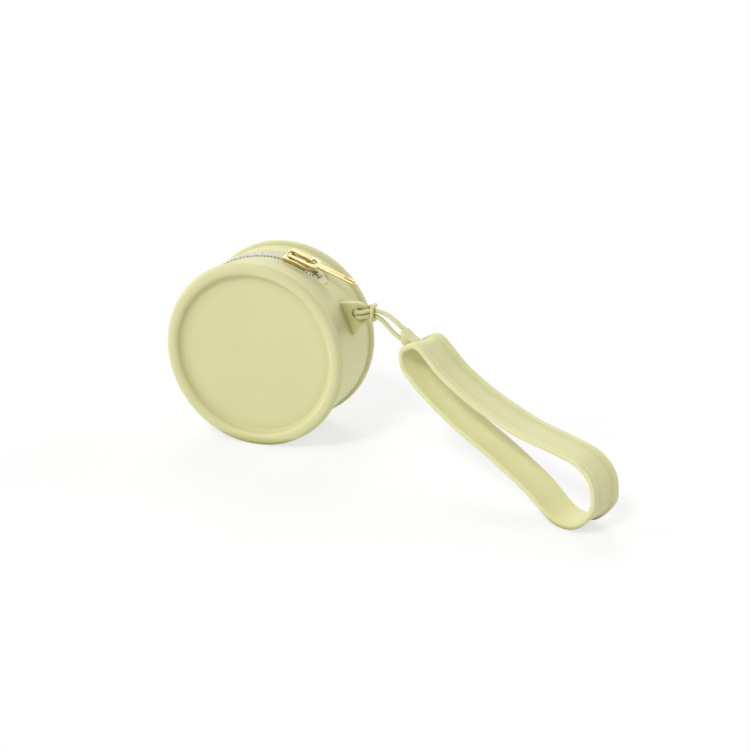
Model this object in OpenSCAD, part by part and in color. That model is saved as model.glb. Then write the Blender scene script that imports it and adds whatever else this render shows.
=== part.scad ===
// Silicone coin pouch: a drum that stands on its two rims, closed by a zip over its top,
// with a wrist band tied to its side by a cord. Millimetres, drum axis along Y, +Z up.
// The origin is the centre of the back face.

/* [Drum] */
// Diameter over the two rims
rim_d = 76; // [70:1:90]
// Width over the crowns of the two rims
drum_w = 38.4; // [34:0.2:44]
// Radius of the rounding on the rim bead
bead_r = 2.3; // [1.8:0.1:2.6]
// Width between the centres of the bead's two roundings
bead_flat = 1.4; // [0.6:0.1:2.2]
// Radius of the hollow where the bead meets the face
face_fillet_r = 1.8; // [1:0.1:2.4]
// Radius of the hollow where the bead meets the wall
wall_fillet_r = 0.8; // [0.4:0.1:1.2]
// Height of the rims over the wall
rim_rise = 1.5; // [1.2:0.1:1.8]
// Thickness of the side wall
wall_t = 2; // [1.9:0.1:2.6]
// Thickness of the two faces
face_t = 2; // [1.4:0.1:2.6]
// Radius of the corner inside, between wall and face
inside_r = 1.6; // [0.8:0.1:2.4]
// Depth of the flats that the rims stand on
foot_cut = 0.45; // [0.3:0.05:0.8]

/* [Zip opening] */
// Width of the slot over the zip
slot_w = 11.6; // [11.2:0.1:13]
// Angle from the top to the slot's end beside the lug
slot_right_a = 42; // [41:1:46]
// Angle from the top to the slot's far end
slot_left_a = -88; // [-100:1:-70]
// Thickness of the lip that covers the tape
lip_t = 0.9; // [0.7:0.05:1.1]
// Width of the tape that the lip covers on each side
lip_w = 2.5; // [1.5:0.1:3.5]

/* [Zip tape] */
// Thickness of the woven tape
tape_t = 0.55; // [0.4:0.05:0.6]
// Gap between the two tapes under the chain
tape_split = 2.6; // [2.4:0.1:3]

/* [Chain] */
// Length of a tooth across the chain
tooth_l = 3.2; // [2.9:0.1:3.3]
// Length by which the heads pass the chain's middle
tooth_mesh = 0.5; // [0.3:0.05:0.6]
// Height of a tooth over the tape
tooth_h = 1.55; // [1.3:0.05:1.7]
// Thickness of a tooth along the chain
tooth_t = 0.66; // [0.5:0.02:0.68]
// Distance between neighbours on one side
tooth_pitch = 1.5; // [1.45:0.05:1.8]
// Diameter of the cord that runs inside each row
core_d = 0.7; // [0.5:0.05:0.8]
// Length of a stop along the chain
stop_l = 1.8; // [1.4:0.1:2.2]

/* [Slider] */
// Angle from the top to the middle of the closed slider
slider_a = 21; // [15:0.5:21]
// Length of the slider along the chain
slider_l = 13.5; // [12.5:0.1:14]
// Width over the shoulders
shoulder_w = 9.2; // [9.2:0.1:10.4]
// Width of the tail
tail_w = 8.2; // [7.8:0.1:8.6]
// Thickness of the two wings
wing_t = 0.9; // [0.7:0.05:1.1]
// Width of the post that parts the rows
post_w = 1.4; // [1.2:0.1:1.4]
// Width of the bridge that holds the pull
bridge_w = 2.4; // [1.8:0.1:3]
// Thickness of the bridge round the pull's bar
bridge_t = 1; // [0.8:0.1:1.3]
// Length of the bridge from the bar to its front end
bridge_l = 8.4; // [7:0.1:8.8]

/* [Pull] */
// Length of the pull over all
pull_l = 29.5; // [27:0.5:33]
// Thickness of the pull
pull_t = 1.2; // [1:0.05:1.5]
// Width over the ring
ring_w = 8.8; // [8:0.1:9.6]
// Length of the ring
ring_l = 12.4; // [11.8:0.1:14]
// Width of the ring's rails
rail_w = 1.3; // [1:0.1:1.5]
// Width of the tab
tab_w = 3.8; // [3.6:0.1:5]
// Length of the slot in the tab's end
tab_slot_l = 5; // [3:0.1:6]
// Width of the slot in the tab's end
tab_slot_w = 1.6; // [1.2:0.1:1.8]
// Angle by which the pull stands off the slider
pull_lift = 4; // [0:0.5:6]

/* [Lug] */
// Distance of the lug's hole from the drum's axis
lug_hole_r = 41.2; // [40.8:0.1:45]
// Angle from the top to the lug's hole
lug_a = 66.3; // [64:0.1:69]
// Diameter of the hole
lug_hole_d = 4.4; // [4.2:0.1:4.8]
// Radius of the lug's round tip
lug_tip_r = 4.6; // [4:0.1:4.8]
// Thickness of the lug
lug_t = 3; // [2.6:0.1:3]
// Angle from the top to the start of the lug's foot
lug_foot_a = 54; // [50:1:56]
// Angle from the top to the end of the lug's foot
lug_toe_a = 80; // [78:1:84]

/* [Wrist band] */
// Length inside the loop
loop_l = 98; // [90:1:110]
// Height inside the loop's round end
loop_h = 23.6; // [20:0.2:28]
// Width of the band
band_w = 14.2; // [12:0.2:16]
// Thickness of the band at its edges
band_edge_t = 2.3; // [2:0.1:2.8]
// Thickness of the web between the edge beads
band_web_t = 1.5; // [1.2:0.1:1.8]
// Width of each edge bead
band_bead_w = 2.4; // [1.8:0.1:3]
// Angle by which the narrow end is turned about the loop's length
band_twist = 6; // [0:1:10]
// Slope of the loop's length where it rests on the table
band_slope = 22.2; // [21:0.1:23.4]
// Length of the block that holds the cord
nub_l = 7.2; // [6.4:0.1:8]
// Width of the block
nub_w = 4.6; // [4.4:0.1:5]
// Height of the block
nub_h = 6.2; // [6:0.1:7]

/* [Cord] */
// Diameter of the cord
cord_d = 1.8; // [1.4:0.1:1.8]

/* [Hidden] */
$fn = 96;

// Colours
silicone = [0.86, 0.86, 0.62];
woven = [0.87, 0.87, 0.66];
nylon = [0.83, 0.89, 0.92];
gold = [0.86, 0.71, 0.42];

// Overrun of the cuts, and clearances
over = 0.5;
seat_gap = 0.05;
run_gap = 0.3;
bar_gap = 0.06;
slide_gap = 0.15;
rebate_play_a = 1;

// Drum
rim_r = rim_d / 2;
face_y = drum_w / 2 - bead_r;
wall_r = rim_r - rim_rise;
bore_r = wall_r - wall_t;
bore_y = face_y - face_t;
bead_x = rim_r - bead_r;
bead_in_x = bead_x - bead_flat;
face_fillet_x = bead_in_x - sqrt(pow(bead_r + face_fillet_r, 2) - pow(face_fillet_r, 2));
wall_fillet_y = face_y - sqrt(pow(bead_r + wall_fillet_r, 2)
    - pow(wall_r + wall_fillet_r - bead_x, 2));
table_z = foot_cut - rim_r;

// Zip: radii from the inside of the tape out
tape_out_r = wall_r - lip_t - seat_gap;
tape_in_r = tape_out_r - tape_t;
tape_in_y = tape_split / 2;
tape_out_y = slot_w / 2 + lip_w;
tooth_in_r = tape_out_r + seat_gap;
tooth_out_r = tooth_in_r + tooth_h;
tooth_mid_r = tooth_in_r + tooth_h / 2;
wing_in_r = tooth_out_r + run_gap;
wing_out_r = wing_in_r + wing_t;
keel_out_r = tape_in_r - run_gap;
keel_in_r = keel_out_r - wing_t;
slot_round_a = asin(slot_w / 2 / wall_r);
tape_left_a = slot_left_a - arc_a(lip_w, wall_r);
tape_right_a = slot_right_a + arc_a(lip_w, wall_r);

// Chain: the rows part at the slider's front
row_shift = post_w / 2 + tooth_mesh + run_gap * 2 / 3;
shift_start = -slider_l * 0.07;
shift_end = slider_l * 0.22;
core_y = tooth_l / 2 - tooth_mesh;
core_play = 0.3;
chain_right_a = slider_a + arc_a(slider_l / 2 + seat_gap * 6, tooth_mid_r);
bottom_stop_a = slot_left_a + slot_round_a - arc_a(stop_l + run_gap, tooth_mid_r);
chain_left_a = bottom_stop_a + arc_a(stop_l / 2 + tooth_t, tooth_mid_r);
pitch_a = arc_a(tooth_pitch, tooth_mid_r);
tooth_n = floor((chain_right_a - chain_left_a) / pitch_a);
stop_h = tooth_h / 2;
top_stop_a = chain_right_a + arc_a(stop_l / 2 + run_gap, tooth_mid_r);
tape_join_a = top_stop_a + arc_a(stop_l / 2 + run_gap, tooth_mid_r);
tape_tail_a = bottom_stop_a - arc_a(stop_l / 2 + run_gap, tooth_mid_r);

// Slider
nose_r = slider_l * 0.3;
shoulder_x = slider_l / 2 - nose_r;
chain_half = tooth_l - tooth_mesh;
tail_channel = chain_half + run_gap;
front_channel = chain_half + row_shift + run_gap * 2 / 3;
bar_r = pull_t / 2;
bore_bar_r = bar_r + bar_gap;
bar_x = -slider_l * 0.31;
bar_rise = bar_r + run_gap * 7 / 3;
bar_orbit = wing_out_r + bar_rise;
bar_a = asin(bar_x / bar_orbit);
bar_z = bar_orbit * cos(bar_a);
pull_lean = acos((wing_out_r + slide_gap + pull_t / 2) / bar_orbit) - pull_lift;

// Band: the inside of the loop as shares of its length and of its half height,
// from the narrow end along the upper run to the round end, and back along the lower run
loop_shares = [[0, -0.04], [0.015, 0.22], [0.05, 0.46], [0.12, 0.36], [0.19, 0.23],
    [0.27, 0.18], [0.36, 0.18], [0.45, 0.25], [0.58, 0.4], [0.66, 0.57], [0.75, 0.79],
    [0.86, 1.03], [0.92, 1], [0.96, 0.84], [0.99, 0.47], [1, 0.1], [0.975, -0.56], [0.935, -0.88],
    [0.885, -1], [0.835, -0.96], [0.78, -0.86], [0.69, -0.78], [0.5, -0.74], [0.4, -0.77],
    [0.3, -0.76], [0.2, -0.7], [0.1, -0.58], [0.03, -0.4]];
loop_steps = 3;
loop_inner = closed_curve([for (p = loop_shares) [p[0] * loop_l, p[1] * loop_h / 2]], loop_steps);
edge_round = band_edge_t * 0.25;
bead_foot = (band_edge_t - band_web_t) * 0.5;
band_section = section(band_w / 2, band_edge_t, band_web_t, band_bead_w, edge_round, bead_foot);
band_points = band_skin(loop_inner, band_section);
// The loop's narrow end, on the drum's middle plane when the band hangs straight
band_heading = -25;
band_x = 66;
band_y = -12;
band_low = min([for (p = band_points) p[2] * cos(band_slope) - p[0] * sin(band_slope)]);
band_z = table_z - band_low;
// The block's outline as shares of its length and height, and its two sockets
nub_shares = [[1, 0.87], [0.66, 0], [0, 0], [0, 0.5], [-0.3, 0.7], [-0.18, 0.8], [0.3, 0.77]];
nub_x = -band_edge_t / 2;
nub_z = -loop_h * 0.055;
nub_side = nub_w * 0.24;
socket_d = cord_d + 2 * seat_gap;
socket_l = nub_l * 0.28;
socket_shares = [[0.9, 0.67], [0.73, 0.2]];

// Cord, about the drum's middle: out of the upper socket, through the lug's hole, round its tip
// and back to the lower socket
cord_route = concat([in_socket(0, -socket_l), in_socket(0, 0)], [[58.3, -7.7, 15.9],
    [55.7, -6.9, 17.5], [52.8, -6, 18.9], [49.8, -5, 19.6], [47.2, -4, 19.7], [44.8, -3.1, 19.2],
    [42.4, -2.7, 18.5], [40.3, -2.7, 17.9], [38.6, -2.4, 17.6], [37.8, -1.1, 17.6],
    [37.8, 1.1, 17.6], [38.6, 2.4, 17.7], [40.4, 2.8, 18.2], [42.4, 2.6, 19], [44, 1.5, 19.9],
    [44.9, -0.3, 20.7], [45.2, -2.3, 21.1], [45.3, -4.1, 21], [45.4, -5, 19.8],
    [45.4, -5.1, 18.6], [45.4, -5.1, 17.4], [45.3, -4.3, 16], [45.2, -2.4, 15.4],
    [44.9, -0.3, 15.2], [44, 1.5, 15], [42.4, 2.6, 15], [40.4, 2.8, 15.1], [38.6, 2.4, 15.4],
    [37.8, 1.1, 15.6], [37.8, -1.1, 15.6], [38.6, -2.4, 15.6], [40.3, -2.7, 15.9],
    [42.4, -2.7, 16.5], [44.8, -3.1, 17.3], [47.4, -4.4, 17.4], [50, -5.6, 16.5],
    [52.4, -6.8, 15.1], [55, -8, 13.4], [57.6, -9.2, 12.1]],
    [in_socket(1, 0), in_socket(1, -socket_l)]);
cord_sides = 8;
core_sides = 8;

// Angle that an arc of the given length takes at a radius
function arc_a(length, radius) = length / radius * 180 / PI;

// Where a row's teeth are pushed to by the post, at an angle round the drum
function shift_at(a) = let (t = (a - slider_a) * PI / 180 * tooth_mid_r)
    row_shift * min(1, max(0, (t - shift_start) / (shift_end - shift_start)));

// Point of a smooth curve between b and c, with a before and d after, at share t
function curve_point(a, b, c, d, t) = 0.5 * ((2 * b) + (c - a) * t
    + (2 * a - 5 * b + 4 * c - d) * t * t + (3 * b - a - 3 * c + d) * t * t * t);
function closed_curve(p, steps) = let (n = len(p)) [for (i = [0:n - 1], j = [0:steps - 1])
    curve_point(p[(i + n - 1) % n], p[i], p[(i + 1) % n], p[(i + 2) % n], j / steps)];

// Half of the band's outline on both sides: flat inside, a bead along each edge outside
function section(half, edge, web, bead, round, foot) = let (side = [[round - half, 0],
    [-half, round], [-half, edge - 2 * round], [round - half, edge - round / 2],
    [2 * round - half, edge], [bead - round - half, edge - round / 3],
    [bead - half, web + foot], [bead + round - half, web]])
    concat(side, [for (i = [len(side) - 1:-1:0]) [-side[i][0], side[i][1]]]);

// Band's surface: the outline carried round the loop and turned about its length
function unit(v) = v / norm(v);
function outward(p, i) = let (n = len(p), t = unit(p[(i + 1) % n] - p[(i + n - 1) % n]))
    [-t[1], t[0]];
function sheared(p) = let (share = min(1, max(0, p[0] / loop_l)))
    [p[0], p[1], p[2] + p[1] * tan(band_twist * (1 - pow(share, 3)))];
function band_skin(path, outline) = [for (i = [0:len(path) - 1]) let (o = outward(path, i))
    for (q = outline) sheared([path[i][0] + o[0] * q[1], q[0], path[i][1] + o[1] * q[1]])];

// Places a point of the band, measured from the loop's narrow end, about the drum's middle
function lean(p) = [p[0] * cos(band_slope) + p[2] * sin(band_slope), p[1],
    p[2] * cos(band_slope) - p[0] * sin(band_slope)];
function rolled(p) = [p[0], p[1] * cos(band_twist) - p[2] * sin(band_twist),
    p[1] * sin(band_twist) + p[2] * cos(band_twist)];
function headed(p) = [p[0] * cos(band_heading) - p[1] * sin(band_heading),
    p[0] * sin(band_heading) + p[1] * cos(band_heading), p[2]];
function in_socket(i, out) = let (s = socket_shares[i])
    [band_x, band_y, band_z] + headed(lean(rolled([nub_x - nub_l * s[0] - out,
        nub_side * (i == 0 ? 1 : -1), nub_z + nub_h * s[1]])));

// Faces of a tube of rings, closed on itself or with two flat ends
function ring_faces(rings, sides, closed) = concat(
    [for (i = [0:rings - (closed ? 1 : 2)], j = [0:sides - 1]) let (k = (i + 1) % rings,
        m = (j + 1) % sides, a = i * sides + j, b = i * sides + m, c = k * sides + m,
        d = k * sides + j) each [[a, b, c], [a, c, d]]],
    closed ? [] : [[for (j = [sides - 1:-1:0]) j]],
    closed ? [] : [[for (j = [0:sides - 1]) (rings - 1) * sides + j]]);

// Directions across a path, carried along it without turning about it
function along(p, i) = unit(p[min(i + 1, len(p) - 1)] - p[max(i - 1, 0)]);
function across(p, i, before) = unit(before - (before * along(p, i)) * along(p, i));
function carried(p, first) = [for (i = 0, u = across(p, 0, first); i < len(p);
    i = i + 1, u = i < len(p) ? across(p, i, u) : u) u];
function tube_points(p, d, sides, first) = let (u = carried(p, first))
    [for (i = [0:len(p) - 1]) let (w = cross(along(p, i), u[i])) for (j = [0:sides - 1])
        p[i] + d / 2 * (cos(j * 360 / sides) * u[i] + sin(j * 360 / sides) * w)];

module tube(path, d, sides, first) {
    polyhedron(tube_points(path, d, sides, first), ring_faces(len(path), sides, false));
}

// The drum's middle plane lies one face height in front of the origin
module on_drum() {
    translate([0, -face_y, 0]) children();
}

// Turns a radius and width outline about the drum's axis, between two angles from the top
module turned(from, to) {
    rotate([-90, 0, 0]) rotate([0, 0, from - 90]) rotate_extrude(angle = to - from) children();
}

// Straight block of an outline along the chain and across it, standing out from the axis
module radial(from_r, to_r) {
    translate([0, 0, from_r]) linear_extrude(to_r - from_r) children();
}

module band_of(in_r, out_r, from_y, to_y) {
    translate([in_r, from_y]) square([out_r - in_r, to_y - from_y]);
}

module both_sides() {
    children();
    mirror([0, 1, 0]) children();
}

module half_section() {
    square([wall_r, face_y]);
    translate([bead_x, face_y]) circle(bead_r);
    translate([bead_in_x, face_y]) circle(bead_r);
    translate([bead_in_x, face_y]) square([bead_flat, bead_r]);
    difference() {
        polygon([[face_fillet_x, face_y - over], [bead_in_x, face_y - over],
            [bead_in_x, face_y], [face_fillet_x, face_y + face_fillet_r]]);
        translate([face_fillet_x, face_y + face_fillet_r]) circle(face_fillet_r);
    }
    difference() {
        polygon([[wall_r - over, wall_fillet_y], [wall_r + wall_fillet_r, wall_fillet_y],
            [bead_x, face_y], [wall_r - over, face_y]]);
        translate([wall_r + wall_fillet_r, wall_fillet_y]) circle(wall_fillet_r);
    }
}

module half_bore() {
    square([bore_r, bore_y - inside_r]);
    square([bore_r - inside_r, bore_y]);
    translate([bore_r - inside_r, bore_y - inside_r]) circle(inside_r);
}

// Point where a line from p touches a circle, on the chosen side
function touch(p, c, r, side) = let (v = c - p, l = norm(v), a = asin(r / l) * side,
    t = sqrt(l * l - r * r), w = v / l)
    p + t * [w[0] * cos(a) - w[1] * sin(a), w[0] * sin(a) + w[1] * cos(a)];
function polar(r, a) = [r * sin(a), r * cos(a)];

module lug() {
    hole = polar(lug_hole_r, lug_a);
    foot = polar(wall_r - wall_t / 2, lug_foot_a);
    toe = polar(wall_r - wall_t / 2, lug_toe_a);
    rotate([90, 0, 0]) linear_extrude(lug_t, center = true) {
        translate(hole) circle(lug_tip_r);
        polygon([foot, touch(foot, hole, lug_tip_r, 1), hole,
            touch(toe, hole, lug_tip_r, -1), toe]);
    }
}

module slot_end(a) {
    rotate([0, a, 0]) translate([0, 0, bore_r - over])
        cylinder(d = slot_w + 2 * seat_gap, h = wall_t + rim_rise + 2 * over);
}

module shell() {
    turned(0, 360) difference() {
        both_sides() half_section();
        both_sides() half_bore();
    }
}

// Shell with the step under the lip, where the tape is bonded in
module rebated_shell() {
    difference() {
        shell();
        turned(tape_left_a - rebate_play_a, tape_right_a + rebate_play_a)
            band_of(bore_r - over, tape_out_r + seat_gap, -tape_out_y - run_gap,
                tape_out_y + run_gap);
    }
}

module pouch_body() {
    slot_from = slot_left_a + slot_round_a;
    slot_to = slot_right_a - slot_round_a;
    hole = polar(lug_hole_r, lug_a);
    color(silicone) on_drum() {
        difference() {
            rebated_shell();
            union() {
                turned(slot_from, slot_to)
                    band_of(bore_r - 2 * over, rim_r + over, -slot_w / 2, slot_w / 2);
                slot_end(slot_from);
                slot_end(slot_to);
            }
            translate([-rim_r, -drum_w, table_z - rim_r]) cube([rim_d, 2 * drum_w, rim_r]);
        }
        difference() {
            lug();
            translate([hole[0], 0, hole[1]]) rotate([90, 0, 0])
                cylinder(d = lug_hole_d, h = lug_t + 2 * over, center = true);
        }
    }
}

// Tape: its edge stands back under the chain and closes past the stops
module zip_tape() {
    difference() {
        turned(tape_left_a, tape_right_a) band_of(tape_in_r, tape_out_r, seat_gap, tape_out_y);
        turned(tape_tail_a, tape_join_a)
            band_of(tape_in_r - over, tape_out_r + over, seat_gap - over, tape_in_y);
    }
}

module back_zip_tape() {
    color(woven) on_drum() zip_tape();
}

module front_zip_tape() {
    color(woven) on_drum() mirror([0, 1, 0]) zip_tape();
}

// One tooth: a flat loop across the chain, round at both ends, with the core's eye
module tooth() {
    half = tooth_h / 2;
    eye_r = core_d / 2 + seat_gap;
    rotate([90, 0, 90]) linear_extrude(tooth_t, center = true) difference() {
        union() {
            translate([half - tooth_mesh, -half]) square([tooth_l - tooth_h, tooth_h]);
            translate([half - tooth_mesh, 0]) circle(half);
            translate([tooth_l - tooth_mesh - half, 0]) circle(half);
        }
        translate([core_y - core_play, -eye_r]) square([2 * core_play, 2 * eye_r]);
        translate([core_y - core_play, 0]) circle(eye_r);
        translate([core_y + core_play, 0]) circle(eye_r);
    }
}

module row(first_a) {
    for (k = [0:tooth_n - 1]) {
        a = first_a + k * pitch_a;
        rotate([0, a, 0]) translate([0, shift_at(a), tooth_mid_r]) tooth();
    }
}

module back_coil() {
    color(nylon) on_drum() row(chain_left_a);
}

module front_coil() {
    color(nylon) on_drum() mirror([0, 1, 0]) row(chain_left_a + pitch_a / 2);
}

module core() {
    step = 2 * pitch_a;
    from = chain_left_a - pitch_a / 4;
    to = chain_right_a;
    rings = ceil((to - from) / step);
    path = [for (i = [0:rings]) let (a = from + (to - from) * i / rings)
        [tooth_mid_r * sin(a), core_y + shift_at(a), tooth_mid_r * cos(a)]];
    tube(path, core_d, core_sides, [0, 1, 0]);
}

module back_core_cord() {
    color(nylon) on_drum() core();
}

module front_core_cord() {
    color(nylon) on_drum() mirror([0, 1, 0]) core();
}

// Clip over the tape's edge: a plate above, one below and a web between
module clip(a, web_in_y, web_out_y, out_y) {
    half_a = arc_a(stop_l / 2, tooth_mid_r);
    plate_in_r = tape_in_r - seat_gap;
    plate_out_r = tape_out_r + seat_gap;
    turned(a - half_a, a + half_a) {
        band_of(plate_in_r - tape_t, plate_in_r, web_in_y, out_y);
        band_of(plate_out_r, plate_out_r + stop_h, web_in_y, out_y);
        band_of(plate_in_r - tape_t, plate_out_r + stop_h, web_in_y, web_out_y);
    }
}

module top_stops() {
    web = tape_in_y - 2 * seat_gap;
    color(nylon) on_drum() both_sides()
        clip(top_stop_a, web - tape_t, web, tape_in_y + stop_l);
}

module bottom_stop() {
    color(gold) on_drum() clip(bottom_stop_a, -tape_in_y + 2 * seat_gap,
        tape_in_y - 2 * seat_gap, chain_half);
    color(gold) on_drum() mirror([0, 1, 0]) clip(bottom_stop_a, -tape_in_y + 2 * seat_gap,
        tape_in_y - 2 * seat_gap, chain_half);
}

// Slider, built at the top of the drum with its nose towards +X
module slider_outline() {
    polygon([[-slider_l / 2, -tail_w / 2], [shoulder_x, -shoulder_w / 2],
        [shoulder_x, shoulder_w / 2], [-slider_l / 2, tail_w / 2]]);
    translate([shoulder_x, nose_r - shoulder_w / 2]) square([nose_r, shoulder_w - 2 * nose_r]);
    for (s = [-1, 1]) translate([shoulder_x, s * (shoulder_w / 2 - nose_r)]) circle(nose_r);
}

module channel_outline() {
    polygon([[-slider_l, -tail_channel], [shift_start, -tail_channel],
        [shift_end, -front_channel], [slider_l, -front_channel], [slider_l, front_channel],
        [shift_end, front_channel], [shift_start, tail_channel], [-slider_l, tail_channel]]);
}

module post_outline() {
    post_x = slider_l / 2 - post_w;
    translate([post_x, 0]) circle(post_w / 2);
    polygon([[shift_end - post_w, 0], [post_x, -post_w / 2], [post_x, post_w / 2]]);
}

module wing(in_r, out_r) {
    intersection() {
        turned(-90, 90) band_of(in_r, out_r, -shoulder_w, shoulder_w);
        radial(0, 2 * rim_r) children();
    }
}

module bridge() {
    end_x = bar_x + bridge_l;
    root_z = wing_out_r * cos(arc_a(bridge_l, wing_out_r)) - wing_t / 2;
    loop_r = bore_bar_r + bridge_t;
    rotate([90, 0, 0]) linear_extrude(bridge_w, center = true) difference() {
        union() {
            translate([bar_x, bar_z]) circle(loop_r);
            translate([bar_x - loop_r, root_z]) square([loop_r, bar_z - root_z]);
            translate([bar_x, root_z]) square([bridge_l - bridge_t, bar_z + loop_r - root_z]);
            translate([end_x - bridge_t, bar_z + loop_r - bridge_t]) circle(bridge_t);
            translate([end_x - bridge_t, root_z])
                square([bridge_t, bar_z + loop_r - bridge_t - root_z]);
        }
        translate([bar_x, bar_z]) circle(bore_bar_r);
        translate([bar_x, bar_z - bore_bar_r])
            square([bridge_l - 2 * bridge_t - bore_bar_r, 2 * bore_bar_r]);
        translate([end_x - 2 * bridge_t - bore_bar_r, bar_z]) circle(bore_bar_r);
    }
}

module zip_slider() {
    color(gold) on_drum() rotate([0, slider_a, 0]) {
        wing(wing_in_r, wing_out_r) slider_outline();
        wing(keel_in_r, keel_out_r) slider_outline();
        wing(tape_out_r + run_gap, wing_in_r + seat_gap) difference() {
            slider_outline();
            channel_outline();
        }
        wing(keel_out_r - seat_gap, wing_in_r + seat_gap) post_outline();
        intersection() {
            bridge();
            turned(-90, 90) band_of(wing_in_r + seat_gap, 2 * rim_r, -bridge_w, bridge_w);
        }
    }
}

// Pull, with its bar on the origin, its length along +X and its thickness along Z
module pull_outline() {
    inner_w = ring_w - 2 * rail_w;
    tab_end = pull_l - bar_r - tab_w / 2;
    difference() {
        union() {
            translate([0, -ring_w / 2]) square([ring_l - bar_r - ring_w / 2, ring_w]);
            translate([ring_l - bar_r - ring_w / 2, 0]) circle(ring_w / 2);
            translate([ring_l - bar_r - rail_w, -tab_w / 2])
                square([tab_end - ring_l + bar_r + rail_w, tab_w]);
            translate([tab_end, 0]) circle(tab_w / 2);
        }
        translate([-over, -inner_w / 2])
            square([ring_l - bar_r - rail_w - inner_w / 2 + over, inner_w]);
        translate([ring_l - bar_r - rail_w - inner_w / 2, 0]) circle(inner_w / 2);
        translate([tab_end - tab_slot_l + tab_slot_w, -tab_slot_w / 2])
            square([tab_slot_l - tab_slot_w, tab_slot_w]);
        for (x = [tab_end - tab_slot_l + tab_slot_w, tab_end])
            translate([x, 0]) circle(tab_slot_w / 2);
    }
}

module pull_tab() {
    color(gold) on_drum() rotate([0, slider_a + bar_a, 0]) translate([0, 0, bar_orbit])
        rotate([0, pull_lean, 0]) {
            rotate([90, 0, 0]) cylinder(r = bar_r, h = ring_w, center = true);
            translate([0, 0, -pull_t / 2]) linear_extrude(pull_t) pull_outline();
        }
}

module on_band() {
    translate([band_x, band_y, band_z]) rotate([0, 0, band_heading])
        rotate([0, band_slope, 0]) children();
}

module nub() {
    outline = [for (p = nub_shares) [nub_x - nub_l * p[0], nub_z + nub_h * p[1]]];
    rotate([90, 0, 0]) linear_extrude(nub_w, center = true) polygon(outline);
}

module sockets() {
    for (i = [0, 1])
        translate([nub_x - nub_l * socket_shares[i][0] + socket_l, nub_side * (i == 0 ? 1 : -1),
            nub_z + nub_h * socket_shares[i][1]])
            rotate([0, -90, 0]) cylinder(d = socket_d, h = nub_l);
}

module wrist_band() {
    sides = len(band_section);
    color(silicone) on_drum() on_band() {
        polyhedron(band_points, ring_faces(len(loop_inner), sides, true));
        rotate([band_twist, 0, 0]) difference() {
            nub();
            sockets();
        }
    }
}

module strap_cord() {
    color(silicone) on_drum() tube(cord_route, cord_d, cord_sides, [0, 0, 1]);
}

pouch_body();
front_zip_tape();
back_zip_tape();
front_coil();
back_coil();
front_core_cord();
back_core_cord();
top_stops();
bottom_stop();
zip_slider();
pull_tab();
wrist_band();
strap_cord();
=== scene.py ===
# %% [markdown]
# # A silicone coin pouch with a wrist band
#
# The pouch is a drum of soft silicone that stands on its two rims. A zip runs over its top,
# and a wrist band hangs from a lug at its side by a thin cord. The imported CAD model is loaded
# first: it is the frame that every visible piece is fitted to.

# %% Load the frame
import math
import bmesh
import bpy
from mathutils import Matrix, Vector


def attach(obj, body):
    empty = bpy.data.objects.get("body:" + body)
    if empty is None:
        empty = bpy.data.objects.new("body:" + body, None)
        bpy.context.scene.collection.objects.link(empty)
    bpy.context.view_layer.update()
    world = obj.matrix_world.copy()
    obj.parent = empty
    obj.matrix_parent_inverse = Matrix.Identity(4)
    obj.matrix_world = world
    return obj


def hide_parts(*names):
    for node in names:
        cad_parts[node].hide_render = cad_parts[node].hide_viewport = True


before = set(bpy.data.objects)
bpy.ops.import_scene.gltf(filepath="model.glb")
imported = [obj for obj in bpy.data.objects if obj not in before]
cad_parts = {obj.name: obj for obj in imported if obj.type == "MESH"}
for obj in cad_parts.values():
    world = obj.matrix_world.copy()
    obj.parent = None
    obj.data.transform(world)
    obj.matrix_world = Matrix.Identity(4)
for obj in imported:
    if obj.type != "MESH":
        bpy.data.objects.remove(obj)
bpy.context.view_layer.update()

# %% [markdown]
# ## Camera
#
# The camera stands where the photographer stood: about 21 degrees to the right of the drum's
# axis and 20 degrees above the table. The lens and the distance decide how much the back rim
# shrinks against the front one, so they were fitted to the two rims' outlines.

# %% Camera
AZIMUTH, ELEVATION = math.radians(20.62), math.radians(20.17)
bpy.ops.object.select_all(action="DESELECT")
bpy.ops.object.camera_add(location=(0.2586, -0.5853, 0.2145),
                          rotation=(math.pi / 2 - ELEVATION, 0, AZIMUTH))
camera = bpy.context.object
camera.data.lens = 78.06
camera.data.sensor_width = 36
camera.data.clip_start = 0.05
bpy.context.scene.camera = camera
print("camera at", tuple(camera.location))

# %% [markdown]
# ## Units
#
# A pouch this small is easiest to shape in millimetres, measured from the middle of the drum.
# Each piece is therefore modelled at a thousand times its size, and one helper brings it to
# its real size and place, with the place kept in the mesh and not in the object.

# %% Millimetres to the frame
MM = 0.001
FACE_Y = 16.9
TO_FRAME = Matrix.Translation((0, -FACE_Y * MM, 0)) @ Matrix.Scale(MM, 4)


def polar(r, a, y=0.0):
    """Point at a radius and at an angle from the drum's top towards the lug."""
    return Vector((r * math.sin(math.radians(a)), y, r * math.cos(math.radians(a))))


def only(*objects):
    """Nothing is selected but these objects."""
    if bpy.context.object and bpy.context.object.mode != "OBJECT":
        bpy.ops.object.mode_set(mode="OBJECT")
    bpy.ops.object.select_all(action="DESELECT")
    for obj in objects:
        obj.select_set(True)
    if objects:
        bpy.context.view_layer.objects.active = objects[0]


def place(obj, *moves):
    """Moves an object and keeps the move in its mesh."""
    only(obj)
    for move in moves:
        obj.matrix_world = move
        bpy.ops.object.transform_apply(location=True, rotation=True, scale=True)


# %% [markdown]
# ## Strap cord
#
# The cord is one thin silicone strand. It leaves the upper hole of the band's block, passes
# through the lug, goes round the tip as a hitch, and returns to the block's lower hole. A
# curve with a round bevel keeps the same thickness in every bend, which a bent cylinder
# would not. The points are the same as the CAD model's, measured from the drum's middle.

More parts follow.
